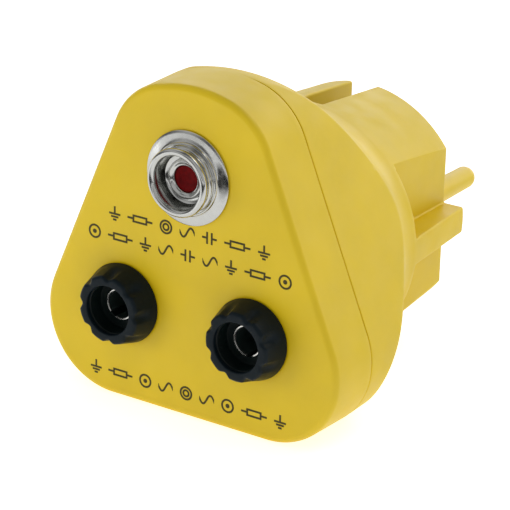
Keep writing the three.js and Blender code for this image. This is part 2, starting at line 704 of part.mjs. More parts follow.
const plug = new THREE.Group();
plug.add(named("front_shell", frontShell(), YELLOW));
plug.add(named("rear_shell", rearShell(), YELLOW));
plug.add(named("closing_screw", closingScrew(), STEEL));
for (const [name, x] of [["dummy_pin_left", -PIN_X], ["dummy_pin_right", PIN_X]]) {
  const pin = named(name, dummyPin(), PIN_YELLOW);
  pin.position.x = x;
  plug.add(pin);
}
plug.add(named("earth_clip", earthClip(), NICKEL));
plug.add(stud());
const { degToRad } = THREE.MathUtils;
plug.add(socket("left", -SOCKET_X, 0, degToRad(-124), -SOCKET_TAG_SLOPE));
plug.add(socket("right", SOCKET_X, Math.PI / SCALLOPS, degToRad(-78), SOCKET_TAG_SLOPE - Math.PI));
plug.add(...resistors());

export default plug;
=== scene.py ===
"""Earth bonding plug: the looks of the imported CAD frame.

Every piece but the solder tags is a fine mesh that stands for its CAD node, in the CAD's own frame:
+X to the right seen from the front, +Y along the plug's axis towards the wall socket, +Z up. The
solder tags keep their CAD shape. Sizes are written in millimetres and turned into metres when a mesh
is made.
"""

import json
import math

import bmesh
import bpy
import numpy as np
from mathutils import Matrix, Vector


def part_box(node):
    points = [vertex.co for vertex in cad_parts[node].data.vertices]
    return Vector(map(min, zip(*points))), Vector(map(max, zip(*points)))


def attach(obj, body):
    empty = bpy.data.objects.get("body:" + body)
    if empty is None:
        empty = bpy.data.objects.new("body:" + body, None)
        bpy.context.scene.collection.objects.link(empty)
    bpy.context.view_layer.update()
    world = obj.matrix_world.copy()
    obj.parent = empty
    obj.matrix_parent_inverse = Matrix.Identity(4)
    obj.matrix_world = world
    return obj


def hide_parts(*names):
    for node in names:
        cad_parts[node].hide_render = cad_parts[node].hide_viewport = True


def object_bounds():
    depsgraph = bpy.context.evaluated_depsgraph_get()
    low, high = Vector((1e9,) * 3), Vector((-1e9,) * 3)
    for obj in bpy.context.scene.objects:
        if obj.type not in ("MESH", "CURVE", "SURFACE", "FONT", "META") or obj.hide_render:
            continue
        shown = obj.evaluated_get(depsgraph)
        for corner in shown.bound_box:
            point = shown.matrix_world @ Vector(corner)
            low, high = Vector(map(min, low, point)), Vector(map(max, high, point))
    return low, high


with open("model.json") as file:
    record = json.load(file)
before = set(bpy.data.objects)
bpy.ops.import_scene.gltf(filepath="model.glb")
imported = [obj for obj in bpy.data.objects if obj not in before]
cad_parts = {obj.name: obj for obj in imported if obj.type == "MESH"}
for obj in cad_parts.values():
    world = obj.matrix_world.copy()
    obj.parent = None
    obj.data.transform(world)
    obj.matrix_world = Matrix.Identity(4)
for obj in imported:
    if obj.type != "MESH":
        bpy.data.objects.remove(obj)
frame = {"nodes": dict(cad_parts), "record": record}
cad_low, cad_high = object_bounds()

MM = 0.001
BODY_OF = {
    node: body for body, nodes in frame["record"]["behaviour"]["bodies"].items() for node in nodes
}


def low_mm(node):
    return np.array(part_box(node)[0]) / MM


def high_mm(node):
    return np.array(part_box(node)[1]) / MM


def middle_mm(node):
    return (low_mm(node) + high_mm(node)) / 2


# ------------------------------------------------------------------ sizes, in millimetres

# Front outline: a rounded triangle made of tangent arcs and straight lines.
TOP_Z = 29.55
TOP_RADIUS = 22.1
SHOULDER_RADIUS = 10.6
CORNER_RADIUS = 11.7
BASE_Z = -20.7
SIDE_TILT = math.radians(22.9)
SIDE_DISTANCE = 20.85

# Casing.
SEAM_Y = 9.0
SEAM_FLARE = 0.25
SEAM_ROUND = 0.16
SEAM_GAP = 0.06
WALL = 2.2
EDGE_ROUND = 1.0
INNER_OFFSET = -1.8
TONGUE_OFFSET = -2.0
TONGUE_LENGTH = 1.4
REAR_DRAFT = 0.02

# Plug end of the rear shell.
BELL_RADIUS = 29.6
BELL_END_Y = 30.0
BODY_FRONT_RADIUS = 19.8
BODY_REAR_RADIUS = 18.5
REAR_Y = high_mm("rear_shell")[1]
CREASE_BLEND = 0.18
RECESS_Y = 31.0
FLAT_X = 15.0
RIB_HALF = 2.1
NOTCH_HALF = 2.2
NOTCH_FLOOR_Z = 14.5
RECESS_ROUND = 0.45
SECTION_ROUND = 0.35
REAR_ROUND = 0.45
CAVITY_RADIUS = 12.4
CAVITY_FRONT_Y = 28.5
REAR_WALL = 4.0
BOSS_RADIUS = 3.2
BOSS_END_Y = high_mm("front_shell")[1]
TUBE_RADIUS = 4.6
TUBE_START_Y = 14.0
STUD_HOLE_RADIUS = 2.45
SOCKET_HOLE_RADIUS = 4.4
PIN_HOLE_RADIUS = 2.0
SCREW_WELL_RADIUS = 3.1
CLIP_SLOT_HALF = 2.05
CLIP_SLOT_PLAY = 0.3

# Screw, pins and clip.
SCREW_RADIUS = 1.4
SCREW_TIP_Y, SCREW_END_Y = low_mm("closing_screw")[1], high_mm("closing_screw")[1]
SCREW_SEAT_Y = SCREW_END_Y - 2.0
PIN_X = middle_mm("dummy_pin_right")[0]
PIN_ROOT_RADIUS = 1.95
PIN_TIP_RADIUS = 1.78
PIN_TIP_Y = high_mm("dummy_pin_right")[1]
CLIP_Y = 31.6
CLIP_THICKNESS = 0.8
CLIP_LEG_Z = 14.6
CLIP_BOW = 0.7
CLIP_LEG_END_Y = high_mm("earth_clip")[1]

# Outlets.
STUD_Z = middle_mm("stud_cap")[2]
SOCKET_X = middle_mm("right_slip_washer")[0]
SOCKET_Z = middle_mm("right_slip_washer")[2]
SCALLOPS = 8
OUTLETS = {"left": -1, "right": 1}

# ------------------------------------------------------------------ mesh building


def circle(radius, y, count):
    """A ring of points about the Y axis, counter-clockwise seen from the front."""
    angles = np.arange(count) * (2 * math.pi / count)
    return polar_ring(np.full(count, float(radius)), y, angles)


def polar_ring(radii, y, angles):
    return np.stack([radii * np.cos(angles), np.full(len(angles), float(y)), radii * np.sin(angles)], 1)


def flat_ring(points, y):
    """Points [x, z] as a ring at one depth."""
    points = np.array(points, float)
    return np.stack([points[:, 0], np.full(len(points), float(y)), points[:, 1]], 1)


def skin(rings, wrap=False, poles=(None, None)):
    """Vertices and faces of a closed surface through rings of equal length.

    Outer surfaces run along +Y. wrap joins the last ring to the first. Otherwise each end is closed,
    by a fan about its pole or by one flat face.
    """
    count, levels = len(rings[0]), len(rings)
    vertices = [tuple(point) for ring in rings for point in ring]
    faces = []
    for level in range(levels if wrap else levels - 1):
        near = level * count
        far = ((level + 1) % levels) * count
        faces += [(near + i, far + i, far + (i + 1) % count, near + (i + 1) % count) for i in range(count)]
    if wrap:
        return vertices, faces
    for start, pole, backwards in ((0, poles[0], False), ((levels - 1) * count, poles[1], True)):
        loop = [start + i for i in range(count)]
        if backwards:
            loop.reverse()
        if pole is None:
            faces.append(tuple(loop))
        else:
            vertices.append(tuple(pole))
            faces += [(len(vertices) - 1, loop[i], loop[(i + 1) % count]) for i in range(count)]
    return vertices, faces


def new_object(name, vertices, faces, place=(0, 0, 0)):
    """A mesh object from millimetre coordinates, with doubled points merged."""
    mesh = bpy.data.meshes.new(name)
    mesh.from_pydata(((np.array(vertices) + np.array(place)) * MM).tolist(), [], faces)
    work = bmesh.new()
    work.from_mesh(mesh)
    bmesh.ops.remove_doubles(work, verts=work.verts, dist=1e-7)
    bmesh.ops.dissolve_degenerate(work, edges=work.edges, dist=1e-7)
    work.to_mesh(mesh)
    work.free()
    obj = bpy.data.objects.new(name, mesh)
    bpy.context.scene.collection.objects.link(obj)
    return obj


def lathe(name, profile, place=(0, 0, 0), count=128):
    """A body of revolution about an axis along Y. The profile is [radius, y] pairs that go round the
    half section, with the outer surface running along +Y."""
    rings = [circle(radius, y, count) for radius, y in profile if radius > 0]
    on_axis = [radius == 0 for radius, _ in profile]
    poles = [(0, profile[i][1], 0) if on_axis[i] else None for i in (0, -1)]
    return new_object(name, *skin(rings, not any(on_axis), poles), place)


def arc_points(centre, radius, start, end, steps):
    """Points (a, b) on an arc, both ends included, with angles in degrees."""
    angles = np.radians(np.linspace(start, end, steps + 1))
    return [(centre[0] + radius * math.cos(t), centre[1] + radius * math.sin(t)) for t in angles]


def between(start, end, steps):
    """Points strictly between two points."""
    start, end = np.array(start, float), np.array(end, float)
    return [tuple(start + (end - start) * i / steps) for i in range(1, steps)]


def rounded_corner(before, corner, after, radius):
    """A corner of a polygon replaced by an arc that touches both its sides."""
    corner = np.array(corner, float)
    u = np.array(before) - corner
    v = np.array(after) - corner
    u, v = u / np.linalg.norm(u), v / np.linalg.norm(v)
    half = math.acos(float(np.clip(u @ v, -1, 1))) / 2
    centre = corner + (u + v) / np.linalg.norm(u + v) * radius / math.sin(half)
    start = corner + u * radius / math.tan(half) - centre
    end = corner + v * radius / math.tan(half) - centre
    turn = math.pi - 2 * half
    return [
        tuple(centre + (start * math.sin(turn * (1 - t)) + end * math.sin(turn * t)) / math.sin(turn))
        for t in np.linspace(0, 1, FILLET + 1)
    ]


def boolean(target, tool, operation):
    """Joins or cuts target with a tool, which is used up."""
    modifier = target.modifiers.new("boolean", "BOOLEAN")
    modifier.operation = operation
    modifier.solver = "EXACT"
    modifier.object = tool
    evaluated = target.evaluated_get(bpy.context.evaluated_depsgraph_get())
    target.data = bpy.data.meshes.new_from_object(evaluated)
    target.modifiers.clear()
    bpy.data.objects.remove(tool)


def block(low, high):
    """A box between two corners, as a boolean tool."""
    (x0, y0, z0), (x1, y1, z1) = low, high
    corners = [(x0, z0), (x1, z0), (x1, z1), (x0, z1)]
    return new_object("tool", *skin([flat_ring(corners, y0), flat_ring(corners, y1)]))


def rod(radius, front, back, place=(0, 0, 0), count=96):
    """A plain round bar, as a boolean tool."""
    return lathe("tool", [(0, front), (radius, front), (radius, back), (0, back)], place, count)


def finish_piece(obj, material, node, sharp=32, replace=True):
    """Shading, material, and the piece's place in the frame."""
    obj.data.materials.clear()
    obj.data.materials.append(material)
    obj.data.shade_smooth()
    obj.data.set_sharp_from_angle(angle=math.radians(sharp))
    normals = obj.modifiers.new("normals", "WEIGHTED_NORMAL")
    normals.keep_sharp = True
    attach(obj, BODY_OF[node])
    if replace:
        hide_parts(node)
    return obj


# ------------------------------------------------------------------ casing


def outline(offset, fine=4):
    """The rounded triangle grown by an offset, as (x, z) points counter-clockwise from the front."""
    corner_z = BASE_Z + CORNER_RADIUS
    corner_x = (SIDE_DISTANCE - CORNER_RADIUS - corner_z * math.sin(SIDE_TILT)) / math.cos(SIDE_TILT)
    crown_z = TOP_Z - TOP_RADIUS
    arm = TOP_RADIUS - SHOULDER_RADIUS
    reach = SIDE_DISTANCE - SHOULDER_RADIUS - crown_z * math.sin(SIDE_TILT)
    lean = math.asin(reach / arm) - SIDE_TILT
    shoulder = (arm * math.sin(lean), crown_z + arm * math.cos(lean))
    tilt, crown = math.degrees(SIDE_TILT), 90 - math.degrees(lean)
    right = arc_points((corner_x, corner_z), CORNER_RADIUS + offset, -90, tilt, 12 * fine)
    bend = arc_points(shoulder, SHOULDER_RADIUS + offset, tilt, crown, 7 * fine)
    right += between(right[-1], bend[0], 6 * fine) + bend
    right += arc_points((0, crown_z), TOP_RADIUS + offset, crown, 90, 3 * fine)[1:]
    left = [(-x, z) for x, z in reversed(right[:-1])]
    return right + left + between(left[-1], right[0], 6 * fine)


def outline_reach(offset, angles):
    """Distance from the plug's axis to the outline, along each angle."""
    points = np.array(outline(offset, fine=16))
    found = np.arctan2(points[:, 1], points[:, 0])
    return np.interp(angles, found, np.hypot(points[:, 0], points[:, 1]), period=2 * math.pi)


def wall_offset(y):
    """How far the side wall has spread: out to the seam, then slowly back."""
    if y <= SEAM_Y:
        return SEAM_FLARE * (y - EDGE_ROUND) / (SEAM_Y - EDGE_ROUND)
    return SEAM_FLARE - REAR_DRAFT * (y - SEAM_Y)


def front_casing():
    sections = []
    for turn in np.radians(np.linspace(0, 90, 11)):
        sections.append((EDGE_ROUND * (math.sin(turn) - 1), EDGE_ROUND * (1 - math.cos(turn))))
    sections += [(wall_offset(y), y) for y in (4, 6, 8)]
    end = SEAM_Y - SEAM_GAP
    sections += arc_points((wall_offset(end) - SEAM_ROUND, end - SEAM_ROUND), SEAM_ROUND, 0, 90, 4)
    sections += [(INNER_OFFSET, end), (INNER_OFFSET, WALL + 1), (INNER_OFFSET - 1, WALL)]
    shell = new_object("front_casing", *skin([flat_ring(outline(offset), y) for offset, y in sections]))
    boolean(shell, rod(BOSS_RADIUS, WALL / 2, BOSS_END_Y), "UNION")
    boolean(shell, rod(SCREW_RADIUS + 0.05, 4.5, BOSS_END_Y + 1), "DIFFERENCE")
    boolean(shell, rod(STUD_HOLE_RADIUS, -1, WALL + 0.5, (0, 0, STUD_Z)), "DIFFERENCE")
    for side in OUTLETS.values():
        hole = rod(SOCKET_HOLE_RADIUS, -1, WALL + 0.5, (side * SOCKET_X, 0, SOCKET_Z))
        boolean(shell, hole, "DIFFERENCE")
    return shell


def body_radius(y):
    """Radius of the bell and, behind it, of the slightly tapered plug body."""
    if y <= BELL_END_Y:
        t = (y - SEAM_Y) / (BELL_END_Y - SEAM_Y)
        return BODY_FRONT_RADIUS + (BELL_RADIUS - BODY_FRONT_RADIUS) * (1 + math.cos(math.pi * t)) / 2
    t = (y - BELL_END_Y) / (REAR_Y - BELL_END_Y)
    return BODY_FRONT_RADIUS + (BODY_REAR_RADIUS - BODY_FRONT_RADIUS) * t


FILLET = 4  # steps in each small rounded corner
RIB_POINTS = 3
FLAT_STEPS = 24
WIDE_STEPS = 60
FLOOR_STEPS = 3


def on_circle(radius, degrees):
    return radius * math.cos(math.radians(degrees)), radius * math.sin(math.radians(degrees))


def plug_quarter(radius, shrink=0.0):
    """A quarter of the plug's cross section: half a rib, a flat, a stretch of the round body, and half
    a notch. shrink draws all of it in."""
    radius = radius - shrink
    rib, flat = RIB_HALF - shrink, FLAT_X - shrink
    notch, floor = NOTCH_HALF + shrink, NOTCH_FLOOR_Z - shrink
    rib_end = math.degrees(math.asin(rib / radius))
    flat_start = math.degrees(math.acos(flat / radius))
    flat_end = math.degrees(math.acos(notch / radius))
    apart = 3.0
    rib_arc = [on_circle(radius, t) for t in np.linspace(0, rib_end - apart, RIB_POINTS)]
    wide_arc = [on_circle(radius, t) for t in np.linspace(flat_start + apart, flat_end - apart, WIDE_STEPS)]
    rib_corner, flat_corner = on_circle(radius, rib_end), on_circle(radius, flat_start)
    notch_corner = on_circle(radius, flat_end)
    root, floor_corner, floor_middle = (flat, rib), (notch, floor), (0, floor)
    points = rib_arc + rounded_corner(rib_arc[-1], rib_corner, root, SECTION_ROUND)
    points += rounded_corner(rib_corner, root, flat_corner, SECTION_ROUND)
    points += between((flat, rib + 1), (flat, flat_corner[1] - 1), FLAT_STEPS)
    points += rounded_corner(root, flat_corner, wide_arc[0], SECTION_ROUND) + wide_arc
    points += rounded_corner(wide_arc[-1], notch_corner, floor_corner, SECTION_ROUND)
    points += rounded_corner(notch_corner, floor_corner, floor_middle, SECTION_ROUND)
    return points + between(points[-1], floor_middle, FLOOR_STEPS) + [floor_middle]


def mouth_angles(points):
    """The angle of each point of a quarter section, with the points inside a recess spread evenly
    over the recess's mouth."""
    angles = np.arctan2([z for _, z in points], [x for x, _ in points])
    middle = FILLET // 2
    rib_corner = RIB_POINTS + middle
    flat_corner = RIB_POINTS + 2 * (FILLET + 1) + FLAT_STEPS - 1 + middle
    notch_corner = len(points) - FLOOR_STEPS - 2 * (FILLET + 1) + middle
    spread = np.linspace(angles[rib_corner], angles[flat_corner], flat_corner - rib_corner + 1)
    angles[rib_corner : flat_corner + 1] = spread
    angles[notch_corner:] = np.linspace(angles[notch_corner], math.pi / 2, len(points) - notch_corner)
    return angles


def four_fold(quarter):
    """A quarter's (x, z) points mirrored into a full turn, without repeats."""
    upper = quarter + [(-x, z) for x, z in reversed(quarter[:-1])]
    return upper + [(x, -z) for x, z in reversed(upper[1:-1])]


def four_fold_angles(quarter):
    upper = np.concatenate([quarter, math.pi - quarter[-2::-1]])
    return np.concatenate([upper, 2 * math.pi - upper[-2:0:-1]])


def soft_least(a, b, blend):
    """The lesser of two lengths, with a soft changeover."""
    share = np.clip(0.5 + 0.5 * (b - a) / blend, 0, 1)
    return b + (a - b) * share - blend * share * (1 - share)


def section_ring(y, shrink=0.0):
    return flat_ring(four_fold(plug_quarter(body_radius(y), shrink)), y)


def rear_casing():
    mouth = plug_quarter(body_radius(RECESS_Y))
    angles = four_fold_angles(mouth_angles(mouth))
    depth = [body_radius(RECESS_Y) - math.hypot(x, z) for x, z in four_fold(mouth)]
    in_recess = np.clip(np.array(depth) / RECESS_ROUND, 0, 1)

    def ring(radii, y):
        return polar_ring(radii * np.ones(len(angles)), y, angles)

    def surface(offset, inset, y):
        blend = CREASE_BLEND * min(1, 0.05 + (y - SEAM_Y) / 5)
        return soft_least(outline_reach(offset, angles), body_radius(y) - inset, blend)

    root_y, start = SEAM_Y + 1.5, SEAM_Y + SEAM_GAP
    rings = [ring(CAVITY_RADIUS, REAR_Y - REAR_WALL), ring(CAVITY_RADIUS, CAVITY_FRONT_Y)]
    for y in np.linspace(CAVITY_FRONT_Y, root_y, 14):
        rings.append(ring(surface(INNER_OFFSET - REAR_DRAFT * (y - SEAM_Y), WALL, y), y))
    tongue, lip = outline_reach(TONGUE_OFFSET, angles), outline_reach(TONGUE_OFFSET - 1, angles)
    rings += [ring(lip, root_y), ring(lip, SEAM_Y - TONGUE_LENGTH)]
    rings += [ring(tongue, SEAM_Y - TONGUE_LENGTH), ring(tongue, start)]
    for drop, y in arc_points((-SEAM_ROUND, start + SEAM_ROUND), SEAM_ROUND, -90, 0, 4):
        rings.append(ring(surface(wall_offset(y), 0, y) + drop, y))
    for y in np.linspace(SEAM_Y + 0.6, BELL_END_Y, 150):
        rings.append(ring(surface(wall_offset(y), 0, y), y))
    for drop, y in arc_points((-RECESS_ROUND, RECESS_Y - RECESS_ROUND), RECESS_ROUND, 0, 90, 5):
        rings.append(ring(body_radius(y) + drop * in_recess, y))
    rings += [section_ring(y) for y in np.linspace(RECESS_Y, REAR_Y - REAR_ROUND, 8)]
    for drop, y in arc_points((-REAR_ROUND, REAR_Y - REAR_ROUND), REAR_ROUND, 0, 90, 5)[1:]:
        rings.append(section_ring(y, -drop))
    shell = new_object("rear_casing", *skin(rings))
    boolean(shell, rod(TUBE_RADIUS, TUBE_START_Y, REAR_Y - REAR_WALL / 2), "UNION")
    boolean(shell, rod(SCREW_RADIUS + 0.2, TUBE_START_Y - 1, SCREW_SEAT_Y + 1), "DIFFERENCE")
    boolean(shell, rod(SCREW_WELL_RADIUS, SCREW_SEAT_Y, REAR_Y + 1), "DIFFERENCE")
    for side in (-1, 1):
        hole = rod(PIN_HOLE_RADIUS, CAVITY_FRONT_Y, REAR_Y + 1, (side * PIN_X, 0, 0), 64)
        boolean(shell, hole, "DIFFERENCE")
        low, high = sorted((side * (CAVITY_RADIUS - 1), side * (NOTCH_FLOOR_Z + 1)))
        front, back = CLIP_Y - CLIP_SLOT_PLAY, CLIP_Y + CLIP_THICKNESS + CLIP_SLOT_PLAY
        slot = block((-CLIP_SLOT_HALF, front, low), (CLIP_SLOT_HALF, back, high))
        boolean(shell, slot, "DIFFERENCE")
    return shell


# ------------------------------------------------------------------ screw, pins, clip


def closing_screw():
    """A pan head with a cross slot on a threaded shank."""
    count, pitch, thread = 48, 0.7, 0.18
    angles = np.arange(count) * (2 * math.pi / count)
    rings = [circle(SCREW_RADIUS / 2, SCREW_TIP_Y, count)]
    for y in np.arange(SCREW_TIP_Y + 0.6, SCREW_SEAT_Y - 8, pitch / 7):
        phase = (y / pitch - angles / (2 * math.pi)) % 1
        rings.append(polar_ring(SCREW_RADIUS - 2 * thread * np.abs(phase - 0.5), y, angles))
    head = [(1.25, SCREW_SEAT_Y - 7.9), (1.25, SCREW_SEAT_Y), (2.62, SCREW_SEAT_Y), (2.7, SCREW_SEAT_Y + 0.1)]
    head += arc_points((1.7, SCREW_END_Y - 1), 1, 0, 90, 8)
    rings += [circle(radius, y, count) for radius, y in head]
    poles = ((0, SCREW_TIP_Y, 0), (0, SCREW_END_Y, 0))
    screw = new_object("screw", *skin(rings, poles=poles))
    for reach in ((0.35, 1.4), (1.4, 0.35)):
        low = (-reach[0], SCREW_END_Y - 1.2, -reach[1])
        boolean(screw, block(low, (reach[0], SCREW_END_Y + 1, reach[1])), "DIFFERENCE")
    return screw


def dummy_pin(name, x):
    seat = REAR_Y - REAR_WALL
    dome_y = PIN_TIP_Y - PIN_TIP_RADIUS
    profile = [(0, seat - 1.5), (3.1, seat - 1.5), (3.2, seat - 1.4), (3.2, seat - 0.05)]
    profile += [(PIN_ROOT_RADIUS, seat - 0.05), (PIN_ROOT_RADIUS, REAR_Y)]
    profile += [(PIN_ROOT_RADIUS - 0.03, REAR_Y + 2)]
    profile += [(r, y) for r, y in arc_points((0, dome_y), PIN_TIP_RADIUS, 0, 82, 12)]
    return lathe(name, profile + [(0, PIN_TIP_Y)], (x, 0, 0), 96)


def earth_clip():
    """One bent strip: a plate with a ring round the screw tube, and a bowed leg in each notch."""
    half = CLIP_THICKNESS / 2
    plate_y, leg_z = CLIP_Y + half, CLIP_LEG_Z + half
    steps = 24
    leg = []
    for i in range(2, steps + 1):
        t = i / steps
        y = plate_y + (CLIP_LEG_END_Y - plate_y) * t
        leg.append((y, leg_z + CLIP_BOW * math.sin(math.pi * t)))
    bend = rounded_corner((plate_y, 0), (plate_y, leg_z), leg[0], 0.8)
    upper = np.array([(plate_y, 0)] + between((plate_y, 0), bend[0], 4) + bend + leg)
    path = np.concatenate([upper[:0:-1] * (1, -1), upper])
    along = np.gradient(path, axis=0)
    across = np.stack([-along[:, 1], along[:, 0]], 1) / np.linalg.norm(along, axis=1)[:, None]
    edge = np.concatenate([path + across * half, (path - across * half)[::-1]])
    width = 1.95
    sides = [[(x, y, z) for y, z in edge] for x in (-width, width)]
    clip = new_object("contact_clip", *skin(sides))
    work = bmesh.new()
    work.from_mesh(clip.data)
    bmesh.ops.recalc_face_normals(work, faces=work.faces)
    work.to_mesh(clip.data)
    work.free()
    boolean(clip, rod(6.9, CLIP_Y, CLIP_Y + CLIP_THICKNESS), "UNION")
    boolean(clip, rod(4.9, CLIP_Y - 1, CLIP_Y + CLIP_THICKNESS + 1), "DIFFERENCE")
    soften(clip, 0.08)
    return clip


def soften(obj, width):
    """Small rounded edges, as stamped or moulded metal has."""
    bevel = obj.modifiers.new("edges", "BEVEL")
    bevel.width = width * MM
    bevel.segments = 2
    bevel.limit_method = "ANGLE"
    bevel.angle_limit = math.radians(40)


# ------------------------------------------------------------------ press stud


def stud_cap():
    """Flange, neck and rolled ring, hollow in the middle."""
    ring_radius, centre = 0.57, (4.47, low_mm("stud_cap")[1] + 0.58)
    profile = arc_points(centre, ring_radius, -90, 62, 20)
    profile += [(4.6, -2.12), (4.44, -1.95), (4.37, -1.7), (4.38, -1.4), (4.48, -1.2), (4.62, -1.1)]
    profile += [(4.76, -1.07), (4.83, -0.97), (4.9, -1.03), (5.03, -1.03), (5.11, -0.93), (5.18, -0.99)]
    profile += [(5.3, -0.96), (5.37, -0.86), (5.4, -0.72), (5.47, -0.65), (5.6, -0.6)]
    profile += [(6.0, -0.53), (6.5, -0.44), (6.85, -0.38), (6.96, -0.32), (7.0, -0.2), (6.97, -0.04)]
    profile += [(6.9, 0), (2.47, 0), (2.47, -0.33), (3.0, -0.35), (3.45, -0.4), (3.66, -0.55)]
    profile += [(3.77, -0.85), (3.8, -1.4), (3.82, -2.2), (3.86, -2.6), (3.93, -2.86), (4.05, -3.08)]
    profile += [(4.2, -3.22)]
    return lathe("stud_crown", profile, (0, 0, STUD_Z), 192)


def stud_eyelet():
    back = high_mm("stud_eyelet")[1]
    profile = [(2.4, -0.98), (2.56, -1.06), (2.74, -1.04), (2.9, -0.92), (2.97, -0.72), (2.94, -0.5)]
    profile += [(2.85, -0.39), (2.4, -0.38), (2.4, 3.12)]
    profile += [(2.8, 3.14), (2.88, 3.25), (2.86, 3.38), (2.7, back)]
    profile += [(1.95, back), (1.95, -0.5), (1.98, -0.68), (2.06, -0.78), (2.2, -0.82), (2.3, -0.88)]
    return lathe("stud_rivet", profile, (0, 0, STUD_Z), 128)


def red_insert():
    back = high_mm("stud_red_insert")[1]
    profile = [(0, -0.5), (1.2, -0.52), (1.75, -0.58), (1.88, -0.56), (1.92, -0.46), (1.92, back), (0, back)]
    return lathe("red_centre", profile, (0, 0, STUD_Z), 96)


def flat_washer(name, inner, outer, front, back, place):
    """A thin ring with softened rims."""
    soft = min(0.1, (back - front) / 3)
    profile = [(inner, front + soft / 2), (inner + soft / 2, front), (outer - soft, front)]
    profile += [(outer, front + soft), (outer, back - soft / 2), (outer - soft / 2, back)]
    profile += [(inner + soft / 2, back), (inner, back - soft / 2)]
    return lathe(name, profile, place)


# ------------------------------------------------------------------ sockets


def grip_ring(name, place, phase):
    """A tapered ring nut whose scallops deepen towards its rounded front rim."""
    count = 384
    angles = np.arange(count) * (2 * math.pi / count)
    bite = np.maximum(0, np.cos(SCALLOPS * (angles - phase))) ** 1.4
    front, back = -4.15, -0.3
    base_radius, front_radius, lip_bore, bore = 6.15, 5.15, 3.75, 4.45
    rim, scallop_start, scallop_depth = 0.42, -0.9, 0.52

    def side(y, inset=0.0):
        taper = base_radius + (front_radius - base_radius) * (y - back) / (front - back)
        fade = min(1.0, max(0.0, (y - scallop_start) / (front + rim - scallop_start)))
        fade = fade * fade * (3 - 2 * fade)
        return polar_ring(taper - inset - scallop_depth * fade * bite, y, angles)

    rings = []
    for inset, y in arc_points((rim, front + rim), rim, -90, -180, 6):
        rings.append(side(y, inset))
    rings += [side(y) for y in np.linspace(front + rim, scallop_start + 0.3, 16)[1:]]
    rings += [side(back - 0.12), side(back, 0.1)]
    inner = [(bore + 0.1, back), (bore, back - 0.1), (bore, -3.5), (lip_bore, -3.5)]
    inner += arc_points((lip_bore + 0.18, front + 0.18), 0.18, 180, 270, 4)
    rings += [circle(radius, y, count) for radius, y in inner]
    return new_object(name, *skin(rings, wrap=True), place)


def socket_body(name, place):
    """An insulating body: a neck with a recessed floor, a flange behind the panel, and a barrel."""
    bore = 2.46
    profile = [(4.2, -3.3), (4.35, -3.15), (4.35, WALL), (5.9, WALL), (6.0, WALL + 0.1), (6.0, 3.6)]
    profile += [(5.9, 3.7), (4.2, 3.7), (4.0, 3.9), (4.0, 16.3), (3.8, 16.5), (bore, 16.5), (bore, -0.72)]
    profile += [(bore + 0.08, -0.8), (3.45, -0.8), (3.62, -0.86), (3.7, -1.05), (3.7, -3.18), (3.82, -3.3)]
    return lathe(name, profile, place)


def contact_sleeve(name, place, slot_angle):
    """A slotted metal tube with a solder tail."""
    outer, bore, tail, front, floor, end, tail_end = 2.42, 2.12, 1.2, -1.1, 16.4, 17.5, 20.5
    profile = [(0, floor), (bore, floor), (bore, front + 0.06), (bore + 0.05, front), (outer - 0.08, front)]
    profile += [(outer, front + 0.08), (outer, end - 0.1), (outer - 0.1, end), (tail, end)]
    profile += [(tail, tail_end - 0.2), (tail - 0.2, tail_end), (0, tail_end)]
    sleeve = lathe(name, profile, place)
    slot_half, slot_end = 0.55, 9.0
    tool = block((0, front - 1, -slot_half), (outer + 1, slot_end, slot_half))
    tool.data.transform(Matrix.Rotation(-slot_angle, 4, "Y"))
    tool.data.transform(Matrix.Translation(Vector(place) * MM))
    boolean(sleeve, tool, "DIFFERENCE")
    return sleeve


def resistor(name, start, end):
    """A resistor whose leads reach from one point to another, with its bands marked along its length."""
    start, end = Vector(start), Vector(end)
    reach, half = (end - start).length / 2, 3.25
    profile = [(0, -reach), (0.28, -reach), (0.3, -reach + 0.05), (0.3, -half), (0.55, -half)]
    profile += [(0.95, -half + 0.08), (1.14, -half + 0.3), (1.2, -half + 0.7), (1.18, -half + 1.1)]
    profile += [(1.08, -half + 1.6), (1.02, -half + 2.1)]
    profile += [(radius, -y) for radius, y in reversed(profile)]
    obj = lathe(name, profile, count=48)
    along = obj.data.attributes.new("along", "FLOAT", "POINT")
    along.data.foreach_set("value", [vertex.co.y / MM for vertex in obj.data.vertices])
    turn = Vector((0, 1, 0)).rotation_difference(end - start).to_matrix().to_4x4()
    obj.data.transform(Matrix.Translation((start + end) / 2 * MM) @ turn)
    return obj


# ------------------------------------------------------------------ printed symbols

STROKE = 0.3
SYMBOL_HEIGHT = 2.2


def bar_shape(x0, z0, x1, z1):
    return [[(x0, z0), (x1, z0), (x1, z1), (x0, z1)]]


def earth_symbol():
    """A stem on three bars that get shorter downwards. Shapes are lists of loops: outer, then hole."""
    half, top = STROKE / 2, SYMBOL_HEIGHT
    tee = [(-1, 1.05 - half), (1, 1.05 - half), (1, 1.05 + half), (half, 1.05 + half), (half, top)]
    tee += [(-half, top), (-half, 1.05 + half), (-1, 1.05 + half)]
    return [[tee], bar_shape(-0.65, 0.6 - half, 0.65, 0.6 + half), bar_shape(-0.3, 0, 0.3, STROKE)]


def resistor_symbol():
    """A hollow box between two leads."""
    middle, half = SYMBOL_HEIGHT / 2, STROKE / 2
    outer = bar_shape(-1.3, middle - 0.6, 1.3, middle + 0.6)[0]
    inner = bar_shape(-1.3 + STROKE, middle - 0.6 + STROKE, 1.3 - STROKE, middle + 0.6 - STROKE)[0]
    leads = [bar_shape(x, middle - half, x + 0.9, middle + half) for x in (-2.2, 1.3)]
    return [[outer, inner]] + leads


